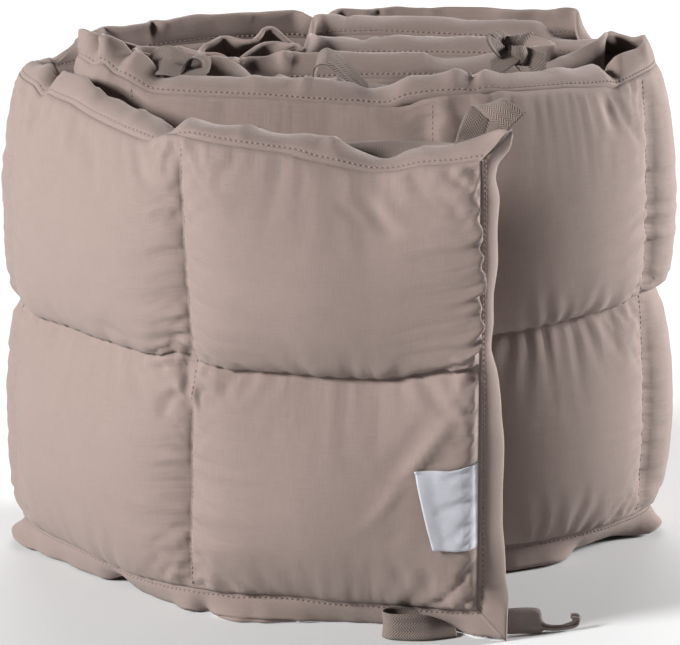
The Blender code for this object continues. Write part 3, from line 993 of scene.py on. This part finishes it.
def seam_stitch_lines(pad):
    """The upright seams between the squares, on both faces."""
    lines = []
    v = np.linspace(0.01, 0.99, 160)
    for column in range(1, SQUARE_COLUMNS):
        s = pad.start + column * pad.column_width
        for side in (1, -1):
            line = pad.points(np.full(len(v), s), v, side)
            outward = pad.route.at(s + pad.seam_shift(s, v))[1] * side
            normal = np.concatenate([outward, np.zeros((len(v), 1))], 1)
            lines.append((line - normal * SEAM_STITCH_DEPTH, normal))
    return lines


# ---------------------------------------------------------------- tapes
TAPE_COLUMNS = ("x", "y", "z", "turn", "tilt", "width")   # mm, degrees, share of the width
TAPES = {
    "tie_top_outer_up": (
        (70, 18, 280, 0, -12, 1), (72.5, 28, 287, 0, -14, 1), (76, 30, 296, 0, -10, 1),
        (79.5, 28, 303.5, 0, 5, 1), (83, 22, 306, 0, 25, 1), (88, 17, 303.5, 0, 42, 1),
        (97, 14, 298, 0, 45, 1),
    ),
    "tie_top_outer_back": (
        (66, 22, 276, 90, 60, 1), (53, 40, 273, 90, 50, 1), (36, 46, 272, 90, 45, 1),
        (17, 48, 272, 90, 45, 1), (3, 46, 270, 90, 60, 1),
    ),
    "tie_bottom_outer_loop": (
        (65, 12, 3, 100, 15, 0.9), (56, 7, 5, 95, 35, 0.9), (48, 3, 7, 92, 60, 0.95),
        (37, 1, 7.8, 90, 80, 1), (28, 2, 8, 90, 88, 1), (24.5, 8, 8, 90, 90, 1),
        (31, 15, 8, 90, 90, 1), (48, 17, 8, 90, 80, 1), (58, 15, 7, 90, 60, 0.9),
    ),
    "tie_bottom_outer_tail": (
        (86, 5, 9.5, 90, 88, 1), (97, 8, 9.2, 90, 85, 1), (106, 11, 8.4, 90, 80, 1),
        (112.5, 13, 7.0, 90, 75, 0.95), (114.5, 13.8, 4.8, 90, 60, 0.42),
        (118, 14.5, 3.4, 90, 40, 0.28), (123, 16, 2.5, 90, 30, 0.25),
        (130, 18, 2.9, 90, 60, 0.25), (134.5, 20, 4.4, 100, 60, 0.28),
        (134.5, 20, 7.0, 110, 40, 0.28), (131, 19, 7.6, 110, 20, 0.28),
    ),
    "tie_left": (
        (-112, 150, 292, 90, 50, 1), (-105, 148, 300, 90, 45, 1),
        (-97, 146, 302.5, 90, 40, 1), (-90, 144, 300, 80, 40, 0.9),
        (-86, 141, 295, 80, 50, 0.9),
    ),
    "tie_middle": (
        (-15, 150, 289, 80, 20, 1), (-13, 147, 299, 80, 20, 1), (-8, 143, 303.5, 85, 25, 1),
        (-2, 140, 301, 90, 35, 1), (4, 137, 296, 90, 40, 1), (10, 134, 291, 90, 45, 0.9),
        (16, 132, 285, 90, 50, 0.8),
    ),
    "tie_right_loop": (
        (110, 164, 288, 60, 12, 0.9), (99, 158, 303.5, 60, 10, 0.85),
        (93, 156, 311, 60, 5, 0.8), (89, 152, 315.5, 60, 0, 0.8),
        (86.5, 148, 313.5, 60, 0, 0.8), (89, 146, 308.5, 60, 5, 0.8),
        (94, 148, 303, 60, 10, 0.8),
    ),
    "tie_right_tail": (
        (103, 152, 303, 90, 50, 0.65), (109, 150, 301, 90, 60, 0.8),
        (114, 148, 299, 90, 62, 0.9), (118, 147, 298, 90, 64, 0.9),
    ),
}
# the bow's other strands and the folds of the left tape, which the solids leave out
SMALL_TAPES = {
    "bow_up": (
        (101, 156, 297, 0, -8, 0.75), (100, 154, 305, 0, -10, 0.75),
        (101.5, 156, 311, 0, -8, 0.85), (105, 159, 312.5, 0, 10, 0.85),
    ),
    "bow_left": (
        (104, 150, 304.5, 90, 40, 0.65), (98.5, 146, 302, 90, 45, 0.8),
        (92.5, 142, 299.5, 90, 48, 0.9), (86, 138, 296.5, 90, 48, 0.9),
    ),
    "bow_knot": (
        (97, 151, 302, 80, 70, 0.8), (99, 147, 303, 85, 75, 0.75),
        (104, 146.5, 303, 95, 75, 0.75), (107, 150, 302, 100, 70, 0.8),
    ),
    "left_strand": (
        (-111, 141, 297, 90, 30, 0.8), (-100, 138, 297.5, 90, 32, 0.8),
        (-88.5, 136, 295.5, 90, 30, 0.8), (-76, 133, 294, 90, 30, 0.8),
    ),
    "left_loop": (
        (-89, 139, 294, 65, 5, 0.8), (-86.5, 140, 301, 65, 5, 0.8),
        (-82, 142, 303.5, 65, 0, 0.8), (-77, 144, 300, 65, 0, 0.8),
        (-78, 146, 292, 65, 0, 0.8),
    ),
}


def tape_length(rows):
    return run_lengths(smooth_line(rows, TAPE_STEPS)[:, :3] * MM)[-1]


def tape(name, rows, material, seed):
    line = smooth_line(rows, TAPE_STEPS)
    columns = dict(zip(TAPE_COLUMNS, line.T))
    middle = np.stack([columns[axis] for axis in "xyz"], axis=1) * MM
    turn, tilt = np.radians(columns["turn"]), np.radians(columns["tilt"])
    across = np.stack(
        [np.cos(turn) * np.cos(tilt), np.sin(turn) * np.cos(tilt), np.sin(tilt)], 1
    )
    normal = unit(np.cross(unit(np.gradient(middle, axis=0)), across))
    along = run_lengths(middle)
    width = np.linspace(-0.5, 0.5, TAPE_CUTS + 1)
    share = np.clip(columns["width"], 0.2, 1)[:, None]
    cup = wobble(along, TAPE_CUP_WAVE, seed)[:, None] * (4 * width**2 - 0.3)
    cup = TAPE_CUP * (cup + (1 - share) * np.sin(12 * width))
    grid = middle[:, None] + across[:, None] * (share * width * TAPE_WIDTH)[..., None]
    grid = grid + normal[:, None] * cup[..., None]
    thickness = np.full(len(width), TAPE_THICKNESS)
    thickness[[0, -1]] *= 0.6
    return strip(name, grid, thickness, along, width * TAPE_WIDTH, material)


# ---------------------------------------------------------------- label
def make_label(pad, material):
    x = np.linspace(0, 1, LABEL_STEPS)[:, None]
    y = np.linspace(0, 1, LABEL_CUTS)[None, :]
    s = pad.start + LABEL_WIDTH * x * (1 - LABEL_SLANT * (1 - y))
    v = (LABEL_FOOT - BINDING_WIDTH + LABEL_HEIGHT * y + LABEL_RISE * x) / PAD_HEIGHT
    curl = LABEL_CURL * ease((x - 0.7) / 0.3) + 0 * y
    middle = pad.points(s, v, 1, LABEL_LIFT + curl)
    thickness = np.full(LABEL_CUTS, LABEL_THICKNESS)
    return strip(
        "tab", middle, thickness, x[:, 0] * LABEL_WIDTH, y[0] * LABEL_HEIGHT, material
    )


# ---------------------------------------------------------------- materials
class Look:
    """A principled material built node by node."""

    def __init__(self, name, roughness, sheen=0.0):
        self.material = bpy.data.materials.new(name)
        self.material.use_nodes = True
        self.tree = self.material.node_tree
        self.shader = self.tree.nodes["Principled BSDF"]
        inputs = {
            "Roughness": roughness, "Sheen Weight": sheen, "Sheen Roughness": 0.5,
            "Specular IOR Level": 0.25,
        }
        for socket, value in inputs.items():
            self.shader.inputs[socket].default_value = value
        uv = self.tree.nodes.new("ShaderNodeUVMap")
        uv.uv_map = "cloth"
        split = self.tree.nodes.new("ShaderNodeSeparateXYZ")
        self.link(uv.outputs["UV"], split.inputs["Vector"])
        self.u, self.v = split.outputs["X"], split.outputs["Y"]

    def link(self, source, target):
        self.tree.links.new(source, target)

    def maths(self, operation, *inputs):
        node = self.tree.nodes.new("ShaderNodeMath")
        node.operation = operation
        for socket, value in zip(node.inputs, inputs):
            if isinstance(value, (int, float)):
                socket.default_value = value
            else:
                self.link(value, socket)
        return node.outputs[0]

    def wave(self, coordinate, period):
        """0 to 1 and back once in each period, in metres."""
        turned = self.maths("MULTIPLY", coordinate, 2 * math.pi / period)
        return self.maths("MULTIPLY_ADD", self.maths("SINE", turned), 0.5, 0.5)

    def grain(self, along, across, detail=2.0):
        """Noise with its own size, in metres, along and across the cloth."""
        joined = self.tree.nodes.new("ShaderNodeCombineXYZ")
        self.link(self.maths("DIVIDE", self.u, along), joined.inputs["X"])
        self.link(self.maths("DIVIDE", self.v, across), joined.inputs["Y"])
        node = self.tree.nodes.new("ShaderNodeTexNoise")
        node.inputs["Scale"].default_value = 1.0
        node.inputs["Detail"].default_value = detail
        self.link(joined.outputs["Vector"], node.inputs["Vector"])
        return node.outputs["Fac"]

    def colour(self, factor, dark, light):
        ramp = self.tree.nodes.new("ShaderNodeValToRGB")
        ends = zip(ramp.color_ramp.elements, RAMP_ENDS, (dark, light))
        for element, position, end_colour in ends:
            element.position = position
            element.color = (*end_colour, 1)
        self.link(factor, ramp.inputs["Fac"])
        self.link(ramp.outputs["Color"], self.shader.inputs["Base Color"])

    def bump(self, height, distance, strength=1.0):
        node = self.tree.nodes.new("ShaderNodeBump")
        node.inputs["Distance"].default_value = distance
        node.inputs["Strength"].default_value = strength
        self.link(height, node.inputs["Height"])
        self.link(node.outputs["Normal"], self.shader.inputs["Normal"])


def shade(colour, factor):
    return tuple(channel * factor for channel in colour)


TAUPE = (0.258, 0.197, 0.175)
TAUPE_TAPE = (0.215, 0.168, 0.146)
WHITE = (0.50, 0.51, 0.55)
RAMP_ENDS = (0.3, 0.7)
WEAVE_PERIOD = 0.0004
WEAVE_DEPTH = 0.00012
GATHERS_DEPTH = 11.0      # in depths of the weave


def gathers(look, first, width, height):
    """Fine wrinkles that run away from the seams of the quilt, 0 to about 1."""
    from_first = look.maths("SUBTRACT", look.u, first)
    aside = look.maths("PINGPONG", from_first, width / 2)
    above = look.maths("PINGPONG", look.v, height / 2)
    by_seam = look.maths("EXPONENT", look.maths("DIVIDE", aside, -0.020))
    by_line = look.maths("EXPONENT", look.maths("DIVIDE", above, -0.016))
    level = look.maths("MULTIPLY", look.grain(0.030, 0.0042, 1.0), by_seam)
    upright = look.maths("MULTIPLY", look.grain(0.0050, 0.026, 1.0), by_line)
    return look.maths("MULTIPLY_ADD", upright, 0.38, level)


def plain_weave(name, colour, squares=None):
    """Plain cotton weave with uneven threads both ways."""
    look = Look(name, 0.85, sheen=0.12)
    warp, weft = look.wave(look.u, WEAVE_PERIOD), look.wave(look.v, WEAVE_PERIOD)
    cross = look.maths("MULTIPLY", warp, weft)
    thick = look.grain(0.00045, 0.012)
    thin = look.grain(0.012, 0.00045)
    height = look.maths("MULTIPLY_ADD", look.maths("ADD", thick, thin), 0.6, cross)
    if squares:
        height = look.maths("MULTIPLY_ADD", gathers(look, *squares), GATHERS_DEPTH, height)
    look.bump(height, WEAVE_DEPTH)
    patches = look.grain(0.02, 0.02, 3.0)
    flecks = look.maths("MULTIPLY_ADD", look.maths("ADD", thick, thin), 0.42, -0.02)
    tone = look.maths("MULTIPLY_ADD", patches, 0.16, flecks)
    look.colour(tone, shade(colour, 0.88), shade(colour, 1.07))
    return look.material


def herringbone(name, colour):
    """Cotton tape: slanting threads that change direction in each narrow stripe."""
    look = Look(name, 0.85, sheen=0.1)
    stripe = 0.005
    folded = look.maths("PINGPONG", look.v, stripe / 2)
    slant = look.maths("ADD", look.u, folded)
    threads = look.wave(slant, 0.0016)
    fine = look.grain(0.0005, 0.0005)
    height = look.maths("MULTIPLY_ADD", fine, 0.3, threads)
    look.bump(height, 0.0004)
    look.colour(look.maths("MULTIPLY_ADD", fine, 0.3, look.maths("MULTIPLY", threads, 0.6)),
                shade(colour, 0.72), shade(colour, 1.1))
    return look.material


def thread(name, colour):
    look = Look(name, 0.7, sheen=0.1)
    look.colour(look.grain(0.001, 0.001), shade(colour, 0.9), shade(colour, 1.1))
    return look.material


def label_cloth(name):
    look = Look(name, 0.6)
    fine = look.wave(look.u, 0.0005)
    rows = look.wave(look.v, 0.0007)
    height = look.maths("MULTIPLY_ADD", look.grain(0.0004, 0.004), 0.5,
                        look.maths("MULTIPLY", fine, rows))
    look.bump(height, 0.00012)
    look.colour(look.grain(0.004, 0.004), shade(WHITE, 0.96), WHITE)
    return look.material


# ---------------------------------------------------------------- stage
CAMERA_PLACE = (-0.002, -3.142, 1.0736)
CAMERA_PITCH = 16.5
CAMERA_LENS = 298.6
CAMERA_SENSOR = 36.0

FLOOR_REACH = 12.0
FLOOR_GREY = 0.58
SKY_STRENGTH = 0.04

LIGHT_COLUMNS = ("name", "place", "target", "size", "power")   # metres and watts
LIGHTS = (
    ("key", (-2.23, -1.13, 1.3), (0, 0, 0.15), 0.7, 140),
    ("side", (2.25, 0.72, 0.75), (0.1, 0, 0.15), 0.7, 128),
    ("floor_wash", (0.0, 3.0, 1.3), (0, 1.4, 0), 2.4, 90),
)


def add_light(name, place, target, size, power):
    data = bpy.data.lights.new(name, "AREA")
    data.shape = "DISK"
    data.size = size
    data.energy = power
    lamp = put(name, data)
    lamp.location = place
    lamp.rotation_mode = "QUATERNION"
    aim = Vector(target) - Vector(place)
    lamp.rotation_quaternion = aim.to_track_quat("-Z", "Y")


def make_stage():
    mesh = bpy.data.meshes.new("floor")
    corners = [(-1, -1), (1, -1), (1, 1), (-1, 1)]
    mesh.from_pydata(
        [(FLOOR_REACH * x, FLOOR_REACH * y, 0) for x, y in corners], [], [(0, 1, 2, 3)]
    )
    material = bpy.data.materials.new("pale_floor")
    material.use_nodes = True
    shader = material.node_tree.nodes["Principled BSDF"]
    shader.inputs["Base Color"].default_value = (FLOOR_GREY, FLOOR_GREY, FLOOR_GREY, 1)
    shader.inputs["Roughness"].default_value = 0.9
    shader.inputs["Specular IOR Level"].default_value = 0.1
    mesh.materials.append(material)
    floor = put("floor", mesh)

    scene = bpy.context.scene
    world = bpy.data.worlds.new("studio")
    world.use_nodes = True
    background = world.node_tree.nodes["Background"]
    background.inputs["Color"].default_value = (1, 1, 1, 1)
    background.inputs["Strength"].default_value = SKY_STRENGTH
    scene.world = world
    for row in LIGHTS:
        add_light(**dict(zip(LIGHT_COLUMNS, row)))

    data = bpy.data.cameras.new("camera")
    data.sensor_width = CAMERA_SENSOR
    data.lens = CAMERA_LENS
    camera = put("camera", data)
    camera.location = CAMERA_PLACE
    camera.rotation_euler = (math.radians(90 - CAMERA_PITCH), 0, 0)
    scene.camera = camera
    scene.view_settings.view_transform = "Standard"
    scene.view_settings.look = "None"


# ---------------------------------------------------------------- putting it together
def build():
    route = Route(ROUTE)
    pad = Pad(route)
    cotton = plain_weave(
        "cotton", TAUPE, squares=(pad.start, pad.column_width, pad.row_height)
    )
    bound = plain_weave("binding_cloth", shade(TAUPE, 0.97))
    tape_cloth = herringbone("tape_cloth", TAUPE_TAPE)
    # the thread takes the cloth's colour darkened by 0.88: painted shade of the stitched lines
    sewing = thread("sewing_thread", shade(TAUPE, 0.88))

    quilt = make_pad(pad, cotton)
    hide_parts("quilted_pad")

    flanges = {
        "binding_top": binding_along("edge_top", pad, top_flange, bound),
        "binding_bottom": binding_along("edge_bottom", pad, bottom_flange, bound),
        "binding_outer_end": binding_end("edge_outer_end", pad, True, bound),
        "binding_inner_end": binding_end("edge_inner_end", pad, False, bound),
    }
    for node, piece in flanges.items():
        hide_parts(node)

    add_stitches("edge_stitches", edge_stitch_lines(pad), sewing)
    add_stitches("square_stitches", seam_stitch_lines(pad), sewing)

    for number, (name, rows) in enumerate({**TAPES, **SMALL_TAPES}.items()):
        piece = tape(name + "_tape", rows, tape_cloth, 60 + number)
        if name in TAPES:
            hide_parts(name)
        tape_length(rows)

    tab = make_label(pad, label_cloth("tab_cloth"))
    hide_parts("label")


build()
make_stage()
